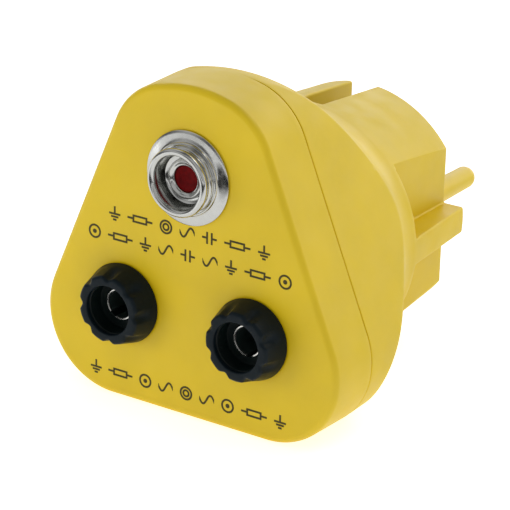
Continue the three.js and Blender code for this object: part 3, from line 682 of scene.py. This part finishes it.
def round_symbol(inner_radius):
    """A circle with a dot, or with a smaller circle, in it."""
    centre = (0, SYMBOL_HEIGHT / 2)
    loops = [arc_points(centre, radius, 0, 360, 40)[:-1] for radius in (1.1, 1.1 - STROKE)]
    if inner_radius < STROKE * 1.2:
        return [loops, [arc_points(centre, inner_radius, 0, 360, 24)[:-1]]]
    small = [arc_points(centre, r, 0, 360, 32)[:-1] for r in (inner_radius, inner_radius - STROKE)]
    return [loops, small]


def wave_symbol():
    """One period of a wave."""
    xs = np.linspace(-1.3, 1.3, 33)
    zs = SYMBOL_HEIGHT / 2 + 0.75 * np.sin(math.pi * xs / 1.3)
    slope = np.gradient(zs, xs)
    lift = STROKE / 2 * np.sqrt(1 + slope**2)
    return [[list(zip(xs, zs - lift)) + list(zip(xs[::-1], (zs + lift)[::-1]))]]


def capacitor_symbol():
    """Two plates between two leads."""
    middle, half = SYMBOL_HEIGHT / 2, STROKE / 2
    plates = [bar_shape(x - half, middle - 0.9, x + half, middle + 0.9) for x in (-0.4, 0.4)]
    leads = [bar_shape(x, middle - half, x + 0.7, middle + half) for x in (-0.4 - half - 0.7, 0.4 + half)]
    return plates + leads


def printed_rows():
    """Rows of circuit symbols printed on the front, one raised film of ink."""
    earth, box, dot = earth_symbol(), resistor_symbol(), round_symbol(0.34)
    stud, wave, plates = round_symbol(0.62), wave_symbol(), capacitor_symbol()
    rows = [
        (6.9, 13.9, [earth, box, stud, wave, plates, box, earth]),
        (3.4, 17.6, [dot, box, earth, wave, plates, wave, earth, box, dot]),
        (-18.0, 17.3, [earth, box, dot, wave, stud, wave, dot, box, earth]),
    ]
    front, back = -0.03, 0.01
    vertices, faces = [], []
    for base_z, half_width, symbols in rows:
        widths = [max(x for shape in symbol for x, _ in shape[0]) * 2 for symbol in symbols]
        gap = (2 * half_width - sum(widths)) / (len(symbols) - 1)
        x = -half_width
        for symbol, width in zip(symbols, widths):
            for shape in symbol:
                loops = [[(px + x + width / 2, pz + base_z) for px, pz in loop] for loop in shape]
                rings = [flat_ring(loops[0], front), flat_ring(loops[0], back)]
                if len(loops) == 2:
                    rings += [flat_ring(loops[1], back), flat_ring(loops[1], front)]
                new_vertices, new_faces = skin(rings, wrap=len(loops) == 2)
                faces += [tuple(i + len(vertices) for i in face) for face in new_faces]
                vertices += new_vertices
            x += width + gap
    return new_object("front_symbols", vertices, faces)


# ------------------------------------------------------------------ materials


class Look:
    """A node material with short ways to add what most of them need."""

    def __init__(self, name, color, roughness, metallic=0.0):
        self.material = bpy.data.materials.new(name)
        self.material.use_nodes = True
        self.tree = self.material.node_tree
        self.shader = self.tree.nodes["Principled BSDF"]
        self.set("Base Color", (*color, 1))
        self.set("Roughness", roughness)
        self.set("Metallic", metallic)
        self.place = self.node("ShaderNodeTexCoord").outputs["Object"]

    def set(self, name, value):
        self.shader.inputs[name].default_value = value

    def node(self, kind, **values):
        node = self.tree.nodes.new(kind)
        for key, value in values.items():
            if key in node.inputs:
                node.inputs[key].default_value = value
            else:
                setattr(node, key, value)
        return node

    def link(self, source, target):
        self.tree.links.new(source, target)

    def noise(self, size_mm, detail=3.0, stretch=(1, 1, 1)):
        """Noise whose features are about size_mm across."""
        scale = 1 / (size_mm * MM)
        mapping = self.node("ShaderNodeMapping", Scale=tuple(scale * s for s in stretch))
        self.link(self.place, mapping.inputs["Vector"])
        noise = self.node("ShaderNodeTexNoise", Scale=1.0, Detail=detail)
        self.link(mapping.outputs["Vector"], noise.inputs["Vector"])
        return noise.outputs["Fac"]

    def span(self, source, low, high, from_low=0.3, from_high=0.7):
        """A value between from_low and from_high carried over to low and high."""
        ramp = self.node("ShaderNodeMapRange")
        limits = {"From Min": from_low, "From Max": from_high, "To Min": low, "To Max": high}
        for key, value in limits.items():
            ramp.inputs[key].default_value = value
        self.link(source, ramp.inputs["Value"])
        return ramp.outputs["Result"]

    def mix(self, factor, first, second):
        """Two colours, each a tuple or a socket, mixed by a factor."""
        mix = self.node("ShaderNodeMix", data_type="RGBA")
        sockets = [s for s in mix.inputs if s.type == "RGBA"]
        for value, socket in zip((first, second), sockets):
            if isinstance(value, tuple):
                socket.default_value = (*value, 1)
            else:
                self.link(value, socket)
        if isinstance(factor, float):
            mix.inputs["Factor"].default_value = factor
        else:
            self.link(factor, mix.inputs["Factor"])
        return [s for s in mix.outputs if s.type == "RGBA"][0]

    def bump(self, heights):
        """Bumps stacked on the surface, as (height, strength, depth in mm) triples."""
        normal = None
        for height, strength, depth in heights:
            bump = self.node("ShaderNodeBump", Strength=strength, Distance=depth * MM)
            self.link(height, bump.inputs["Height"])
            if normal is not None:
                self.link(normal, bump.inputs["Normal"])
            normal = bump.outputs["Normal"]
        self.link(normal, self.shader.inputs["Normal"])


def moulded_yellow(name, color, grain_mm, roughness):
    """Matt moulded plastic: faint mottling, a fine eroded grain, and painted bounce light in tight corners: a
    deeper yellow there, with painted shade that weakens their reflections.
    """
    look = Look(name, color, roughness)
    lighter = tuple(min(1, c * 1.05) for c in color)
    darker = tuple(c * 0.96 for c in color)
    mottle = look.mix(look.span(look.noise(9, 2), 0, 1), darker, lighter)
    speck = look.mix(look.span(look.noise(0.8, 2), 0, 0.25, 0.4, 0.8), mottle, lighter)
    # Painted bounce light: corners found by occlusion get a deeper, richer yellow, standing in for light
    # bounced between yellow walls, and painted shade lowers their reflections.
    crevice = look.node("ShaderNodeAmbientOcclusion", samples=8, Distance=1.5 * MM)
    corner = look.span(crevice.outputs["AO"], 0.7, 0.0, 0.3, 0.9)
    painted_bounce_yellow = (color[0] * 1.06, color[1] * 0.96, 0.0005)
    look.link(look.mix(corner, speck, painted_bounce_yellow), look.shader.inputs["Base Color"])
    look.link(look.span(corner, 0.5, 0.12, 0, 0.7), look.shader.inputs["Specular IOR Level"])
    sheen = look.span(look.noise(3, 3), roughness - 0.05, roughness + 0.06)
    look.link(sheen, look.shader.inputs["Roughness"])
    look.bump([(look.noise(grain_mm, 4), 0.22, 0.03), (look.noise(6, 2), 0.06, 0.04)])
    look.set("Subsurface Weight", 0.08)
    look.set("Subsurface Radius", (0.7 * MM, 0.45 * MM, 0.1 * MM))
    look.set("Subsurface Scale", 1.0)
    return look.material


def moulded_black(name, color, roughness, shine):
    """Satin black plastic with a fine grain and faint handling marks."""
    look = Look(name, color, roughness)
    look.set("Specular IOR Level", shine)
    pale = tuple(c * 1.6 + 0.002 for c in color)
    scuffs = look.span(look.noise(0.5, 5, (1, 3, 1)), 0, 0.7, 0.5, 0.8)
    look.link(look.mix(scuffs, color, pale), look.shader.inputs["Base Color"])
    sheen = look.span(look.noise(1.2, 4), roughness - 0.08, roughness + 0.1)
    look.link(sheen, look.shader.inputs["Roughness"])
    look.bump([(look.noise(0.14, 3), 0.25, 0.015), (look.noise(1.5, 2), 0.2, 0.03)])
    return look.material


def plated(name, color, roughness, centre=None, tarnish=0.25):
    """Plated metal: turning marks about a centre where there is one, and light tarnish."""
    look = Look(name, color, roughness, metallic=1.0)
    dull = tuple(c * 0.72 for c in color)
    patches = look.span(look.noise(1.6, 4), 0, tarnish, 0.45, 0.75)
    look.link(look.mix(patches, color, dull), look.shader.inputs["Base Color"])
    sheen = look.span(look.noise(0.7, 4), roughness * 0.7, roughness * 1.5)
    look.link(sheen, look.shader.inputs["Roughness"])
    heights = [(look.noise(0.25, 3), 0.08, 0.01), (look.noise(2.2, 2), 0.15, 0.04)]
    if centre is not None:
        offset = look.node("ShaderNodeVectorMath", operation="SUBTRACT")
        offset.inputs[1].default_value = tuple(c * MM for c in centre)
        look.link(look.place, offset.inputs[0])
        flat = look.node("ShaderNodeVectorMath", operation="MULTIPLY")
        flat.inputs[1].default_value = (1, 0, 1)
        look.link(offset.outputs["Vector"], flat.inputs[0])
        length = look.node("ShaderNodeVectorMath", operation="LENGTH")
        look.link(flat.outputs["Vector"], length.inputs[0])
        marks = look.node("ShaderNodeTexNoise", noise_dimensions="1D", Scale=1 / (0.05 * MM), Detail=2.0)
        look.link(length.outputs["Value"], marks.inputs["W"])
        heights.append((marks.outputs["Fac"], 0.12, 0.006))
    look.bump(heights)
    return look.material


def sleeve_metal(name, color):
    """Nickel that is bright on its rim and dull behind it, with painted shade: a dim green-grey painted in
    from just behind the rim, down the bore.
    """
    look = Look(name, color, 0.25, metallic=1.0)
    split = look.node("ShaderNodeSeparateXYZ")
    look.link(look.place, split.inputs["Vector"])
    depth = look.span(split.outputs["Y"], 0, 1, -1.05 * MM, -0.7 * MM)
    # Painted shade: the dim green-grey that stands for the shaded inside of the bore.
    painted_bore_shade = (0.11, 0.16, 0.15)
    look.link(look.mix(depth, color, painted_bore_shade), look.shader.inputs["Base Color"])
    look.link(look.span(depth, 0.22, 0.6, 0, 1), look.shader.inputs["Roughness"])
    look.bump([(look.noise(0.2, 3), 0.1, 0.01)])
    return look.material


def resistor_lacquer(name):
    """Blue lacquer with colour bands, on bare leads."""
    look = Look(name, (0.12, 0.3, 0.4), 0.3)
    along = look.node("ShaderNodeAttribute", attribute_name="along").outputs["Fac"]
    position = look.span(along, 0, 1, -5, 5)
    ramp = look.node("ShaderNodeValToRGB")
    bands = ramp.color_ramp
    bands.interpolation = "CONSTANT"
    blue, lead = (0.12, 0.3, 0.4), (0.6, 0.6, 0.58)
    brown, black, yellow = (0.12, 0.035, 0.01), (0.01, 0.01, 0.01), (0.7, 0.5, 0.03)
    stops = [(-5, lead), (-3.25, blue), (-2.5, brown), (-2.0, blue), (-1.2, black), (-0.75, blue)]
    stops += [(0.0, black), (0.45, blue), (1.1, yellow), (1.55, blue)]
    stops += [(2.1, brown), (2.6, blue), (3.25, lead)]
    bands.elements.remove(bands.elements[1])
    bands.elements[0].color = (*lead, 1)
    for place, color in stops[1:]:
        bands.elements.new((place + 5) / 10).color = (*color, 1)
    look.link(position, ramp.inputs["Fac"])
    tint = look.mix(look.span(look.noise(0.4, 3), 0, 0.3), ramp.outputs["Color"], (0.05, 0.12, 0.16))
    look.link(tint, look.shader.inputs["Base Color"])
    look.bump([(look.noise(0.5, 2), 0.15, 0.03)])
    return look.material


def ink(name):
    """Printed ink, thin enough for a little of the plastic to show."""
    look = Look(name, (0.05, 0.042, 0.016), 0.5)
    look.set("Specular IOR Level", 0.2)
    worn = look.span(look.noise(0.12, 3), 0, 0.35, 0.45, 0.8)
    look.link(look.mix(worn, (0.06, 0.048, 0.014), (0.17, 0.13, 0.02)), look.shader.inputs["Base Color"])
    look.bump([(look.noise(0.1, 2), 0.1, 0.01)])
    return look.material


def red_plastic(name):
    look = Look(name, (0.13, 0.0005, 0.001), 0.3)
    look.set("Specular IOR Level", 0.05)
    shade = look.mix(look.span(look.noise(0.7, 3), 0, 1), (0.09, 0.0003, 0.001), (0.15, 0.0008, 0.0015))
    look.link(shade, look.shader.inputs["Base Color"])
    look.bump([(look.noise(0.2, 3), 0.15, 0.02)])
    return look.material


def floor_paper(name):
    look = Look(name, (0.88, 0.88, 0.88), 0.9)
    paper = look.mix(look.span(look.noise(30, 3), 0, 1), (0.86, 0.86, 0.86), (0.9, 0.9, 0.9))
    look.bump([(look.noise(0.6, 3), 0.05, 0.05)])
    look.set("Specular IOR Level", 0.1)
    # The paper glows: painted light that brightens the casing from below, with more of it seen only by the
    # camera so the floor shows white.
    look.set("Emission Color", (1, 1, 1, 1))
    # Painted reflection: for reflections only, a patch of paper in front, where a camera would stand, is
    # painted nearly black and emits no light.
    split = look.node("ShaderNodeSeparateXYZ")
    look.link(look.place, split.inputs["Vector"])
    near = look.span(split.outputs["Y"], 1, 0, -0.095, -0.075)
    far = look.span(split.outputs["Y"], 0, 1, -0.3, -0.2)
    left = look.span(split.outputs["X"], 0, 1, -0.07, -0.045)
    rays = look.node("ShaderNodeLightPath")
    shade = near
    for part in (far, left, rays.outputs["Is Glossy Ray"]):
        product = look.node("ShaderNodeMath", operation="MULTIPLY")
        look.link(shade, product.inputs[0])
        look.link(part, product.inputs[1])
        shade = product.outputs["Value"]
    # Painted light: the paper's emission, none in the painted reflection patch, plus extra for camera rays.
    painted_glow = look.node("ShaderNodeMath", operation="ADD")
    look.link(look.span(shade, 0.52, 0.0, 0, 1), painted_glow.inputs[0])
    look.link(look.span(rays.outputs["Is Camera Ray"], 0, 0.2, 0, 1), painted_glow.inputs[1])
    look.link(painted_glow.outputs["Value"], look.shader.inputs["Emission Strength"])
    # The painted reflection patch also turns the base colour nearly black.
    look.link(look.mix(shade, paper, (0.02, 0.02, 0.02)), look.shader.inputs["Base Color"])
    return look.material


# ------------------------------------------------------------------ assembly

yellow = moulded_yellow("yellow_plastic", (0.76, 0.54, 0.0025), 0.16, 0.46)
pin_yellow = moulded_yellow("pin_plastic", (0.8, 0.57, 0.008), 0.3, 0.38)
black = moulded_black("black_plastic", (0.0035, 0.0085, 0.012), 0.36, 0.14)
socket_black = moulded_black("socket_plastic", (0.003, 0.0075, 0.007), 0.35, 0.16)
stud_nickel = plated("stud_nickel", (0.56, 0.565, 0.545), 0.14, (0, 0, STUD_Z))
contact_nickel = plated("contact_nickel", (0.72, 0.7, 0.62), 0.28)
steel = plated("screw_steel", (0.6, 0.6, 0.61), 0.3, (0, 0, 0))

finish_piece(front_casing(), yellow, "front_shell")
finish_piece(rear_casing(), yellow, "rear_shell")
finish_piece(closing_screw(), steel, "closing_screw")
finish_piece(dummy_pin("left_pin", -PIN_X), pin_yellow, "dummy_pin_left")
finish_piece(dummy_pin("right_pin", PIN_X), pin_yellow, "dummy_pin_right")
finish_piece(earth_clip(), contact_nickel, "earth_clip")
finish_piece(printed_rows(), ink("front_ink"), "front_shell", replace=False)

finish_piece(stud_cap(), stud_nickel, "stud_cap")
finish_piece(stud_eyelet(), stud_nickel, "stud_eyelet")
finish_piece(red_insert(), red_plastic("red_plastic"), "stud_red_insert")
plate = flat_washer("washer_plate", STUD_HOLE_RADIUS, 5, WALL, WALL + 0.5, (0, 0, STUD_Z))
finish_piece(plate, steel, "stud_washer")

sleeve_look = sleeve_metal("sleeve_nickel", (0.8, 0.79, 0.75))
slot_degrees = {"left": -124, "right": -78}
for side, sign in OUTLETS.items():
    place = (sign * SOCKET_X, 0, SOCKET_Z)
    phase = 0 if side == "left" else math.pi / SCALLOPS
    finish_piece(grip_ring(side + "_ring_nut", place, phase), black, side + "_grip_ring")
    washer = flat_washer(side + "_thin_washer", 4.45, 6.0, -0.27, -0.01, place)
    finish_piece(washer, black, side + "_slip_washer")
    finish_piece(socket_body(side + "_insulator", place), socket_black, side + "_socket_body")
    sleeve = contact_sleeve(side + "_sleeve", place, math.radians(slot_degrees[side]))
    finish_piece(sleeve, sleeve_look, side + "_contact_sleeve")

lacquer = resistor_lacquer("resistor_coating")
TAG_REACH, TAG_SLOPE, TAG_Y = 4.8, math.radians(34), 18.3
CLIP_LEAD_X, CLIP_LEAD_Z = 1.2, -10.5
tag_x = SOCKET_X - TAG_REACH * math.cos(TAG_SLOPE)
tag_z = SOCKET_Z - TAG_REACH * math.sin(TAG_SLOPE)
clip_front = CLIP_Y - 0.4
stud_lead_z = middle_mm("stud_resistor")[2]
stud_ends = (0, WALL + 0.5, stud_lead_z), (0, clip_front, stud_lead_z)
stud_part = resistor("stud_lead_part", *stud_ends)
finish_piece(stud_part, lacquer, "stud_resistor")
for side, sign in OUTLETS.items():
    ends = (sign * tag_x, TAG_Y, tag_z), (sign * CLIP_LEAD_X, clip_front, CLIP_LEAD_Z)
    finish_piece(resistor(side + "_lead_part", *ends), lacquer, side + "_resistor")

for node in ("stud_solder_tag", "left_solder_tag", "right_solder_tag"):
    frame["nodes"][node].data.materials.clear()
    frame["nodes"][node].data.materials.append(contact_nickel)

# ------------------------------------------------------------------ floor, light, camera


def floor():
    """A plain pale floor, level with the casing's lowest edge."""
    size = 1.5
    z = cad_low[2]
    mesh = bpy.data.meshes.new("floor")
    corners = [(-size, -size, z), (size, -size, z), (size, size, z), (-size, size, z)]
    mesh.from_pydata(corners, [], [(0, 1, 2, 3)])
    obj = bpy.data.objects.new("floor", mesh)
    obj.data.materials.append(floor_paper("floor_paper"))
    bpy.context.scene.collection.objects.link(obj)


def softbox(name, place, target, size, power, shines=True):
    """A rectangular area light that looks at a target. Lengths in metres, power in watts. shines is
    whether it shows in reflections."""
    light = bpy.data.lights.new(name, "AREA")
    light.shape = "RECTANGLE"
    light.size, light.size_y = size
    light.energy = power
    obj = bpy.data.objects.new(name, light)
    obj.visible_glossy = shines
    obj.location = place
    obj.rotation_euler = (Vector(target) - Vector(place)).to_track_quat("-Z", "Y").to_euler()
    bpy.context.scene.collection.objects.link(obj)


def studio_world():
    """A white tent with a few darker gaps, which only show as reflections."""
    world = bpy.data.worlds.new("studio")
    bpy.context.scene.world = world
    world.use_nodes = True
    tree = world.node_tree
    background = tree.nodes["Background"]

    def node(kind, *links):
        made = tree.nodes.new(kind)
        for source, target in links:
            tree.links.new(source, made.inputs[target])
        return made

    direction = node("ShaderNodeTexCoord").outputs["Generated"]
    gaps = node("ShaderNodeTexNoise", (direction, "Vector"))
    gaps.inputs["Scale"].default_value = 1.6
    gaps.inputs["Detail"].default_value = 0.0
    ramp = node("ShaderNodeValToRGB", (gaps.outputs["Fac"], "Fac"))
    ramp.color_ramp.elements[0].position = 0.36
    ramp.color_ramp.elements[0].color = (0.25, 0.25, 0.25, 1)
    ramp.color_ramp.elements[1].position = 0.5
    ramp.color_ramp.elements[1].color = (1, 1, 1, 1)
    split = node("ShaderNodeSeparateXYZ", (direction, "Vector"))
    behind = node("ShaderNodeMapRange", (split.outputs["Y"], "Value"))
    behind.inputs["From Min"].default_value = 0.1
    behind.inputs["From Max"].default_value = 0.6
    behind.inputs["To Min"].default_value = 0.55
    behind.inputs["To Max"].default_value = 2.7
    rays = node("ShaderNodeLightPath")
    glossy = rays.outputs["Is Glossy Ray"]
    mix = node("ShaderNodeMix", (glossy, "Factor"))
    mix.data_type = "RGBA"
    colors = [s for s in mix.inputs if s.type == "RGBA"]
    colors[0].default_value = (1, 1, 1, 1)
    tree.links.new(ramp.outputs["Color"], colors[1])
    tree.links.new([s for s in mix.outputs if s.type == "RGBA"][0], background.inputs["Color"])
    shown = node("ShaderNodeMix", (glossy, "Factor"), (behind.outputs["Result"], "B"))
    shown.inputs["A"].default_value = 0.43
    seen = rays.outputs["Is Camera Ray"]
    strength = node("ShaderNodeMix", (seen, "Factor"), (shown.outputs["Result"], "A"))
    strength.inputs["B"].default_value = 1.0
    tree.links.new(strength.outputs["Result"], background.inputs["Strength"])


def camera():
    """The camera looks down from the front right, through a long lens. level, up and back are its axes
    before it rolls."""
    azimuth, elevation, roll = math.radians(33.34), math.radians(21.46), math.radians(1.35)
    target, distance = Vector((-3.22, 22.22, -3.12)) * MM, 364 * MM
    level = Vector((math.cos(azimuth), math.sin(azimuth), 0))
    back = Vector((
        math.sin(azimuth) * math.cos(elevation),
        -math.cos(azimuth) * math.cos(elevation),
        math.sin(elevation),
    ))
    up = back.cross(level)
    right = math.cos(roll) * level + math.sin(roll) * up
    upright = math.cos(roll) * up - math.sin(roll) * level
    data = bpy.data.cameras.new("camera")
    data.lens = 170.6
    data.sensor_width = 36
    data.clip_start = 0.01
    obj = bpy.data.objects.new("camera", data)
    matrix = Matrix((right, upright, back)).transposed().to_4x4()
    matrix.translation = target + back * distance
    obj.matrix_world = matrix
    bpy.context.scene.collection.objects.link(obj)
    bpy.context.scene.camera = obj


floor()
studio_world()
softbox("key", (0.2, 0.2, 0.45), (0, 0.01, 0), (0.35, 0.35), 0.62)
softbox("side", (0.5, 0.1, 0.1), (0, 0.02, 0), (0.3, 0.4), 0.06)
softbox("left", (-0.17, -0.17, 0.03), (0, 0, 0), (0.12, 0.12), 0.13, shines=False)
camera()
bpy.context.scene.view_settings.view_transform = "Standard"
